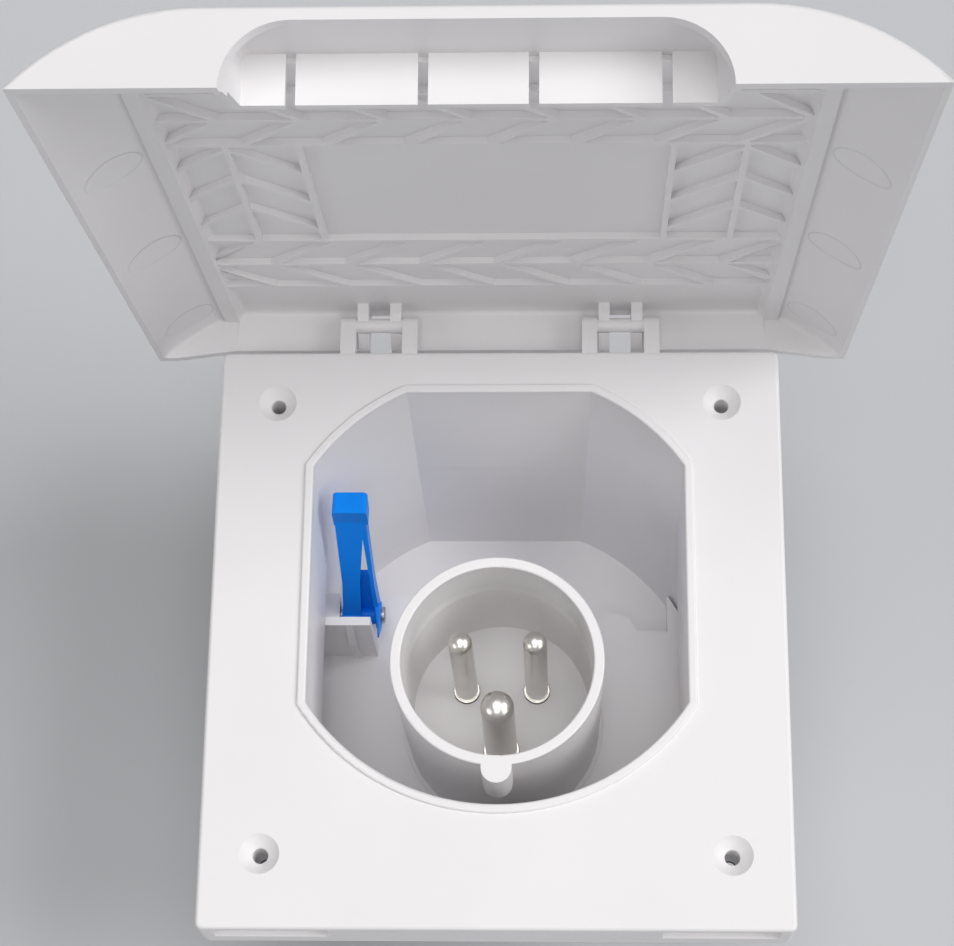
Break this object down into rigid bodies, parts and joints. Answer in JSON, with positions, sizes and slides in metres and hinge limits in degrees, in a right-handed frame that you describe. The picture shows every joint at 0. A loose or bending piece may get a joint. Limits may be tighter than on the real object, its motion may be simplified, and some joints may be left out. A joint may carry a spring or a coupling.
{
  "type": "flush mains inlet",
  "caption": "Flush outdoor mains inlet with a hinged cap standing open, male pins in a round keyed shroud and a blue release lever.",
  "frame": {"origin": "centre of the four wall screw holes on the wall plane", "axes": "+Z out of the wall, +Y towards the cap's hinge, +X to the right seen from the front"},
  "size_m": [0.1502, 0.1401, 0.2378],
  "materials": {
    "white_plastic": "satin",
    "blue_plastic": "gloss",
    "nickel_plate": "satin",
    "zinc_steel": "satin",
    "grey_plastic": "satin",
    "black_rubber": "matte"
  },
  "bodies": {
    "base": {"front_bezel": "white_plastic", "inlet_body": "white_plastic", "inlet_shroud": "white_plastic", "lever_bracket": "white_plastic", "line_pin": "nickel_plate", "neutral_pin": "nickel_plate", "earth_pin": "nickel_plate", "flange_screws": "zinc_steel", "carrier_screws": "zinc_steel", "cover_screws": "zinc_steel", "clamp_screws": "zinc_steel", "lever_pin": "zinc_steel", "line_terminal_screw": "zinc_steel", "neutral_terminal_screw": "zinc_steel", "earth_terminal_screw": "zinc_steel", "pin_carrier": "grey_plastic", "rear_cover": "grey_plastic", "gland_body": "grey_plastic", "gland_nut": "grey_plastic", "cord_clamp": "grey_plastic", "wall_gasket": "black_rubber", "body_gasket": "black_rubber", "cover_seal": "black_rubber", "gland_seal": "black_rubber"},
    "cap": {"cap": "white_plastic"},
    "lever": {"latch_lever": "blue_plastic"}
  },
  "joints": [
    {"name": "cap_hinge", "type": "hinge", "parent": "base", "child": "cap", "pos_m": [0, 0.06768, 0.0135], "axis": [-1, 0, 0], "range_deg": [-83.27, 26.7]},
    {"name": "lever_pivot", "type": "hinge", "parent": "base", "child": "lever", "pos_m": [0, 0.01615, -0.0335], "axis": [-1, 0, 0], "range_deg": [0, 6], "stiffness_Nm_per_rad": 0.1, "springref_deg": -5.73}
  ]
}
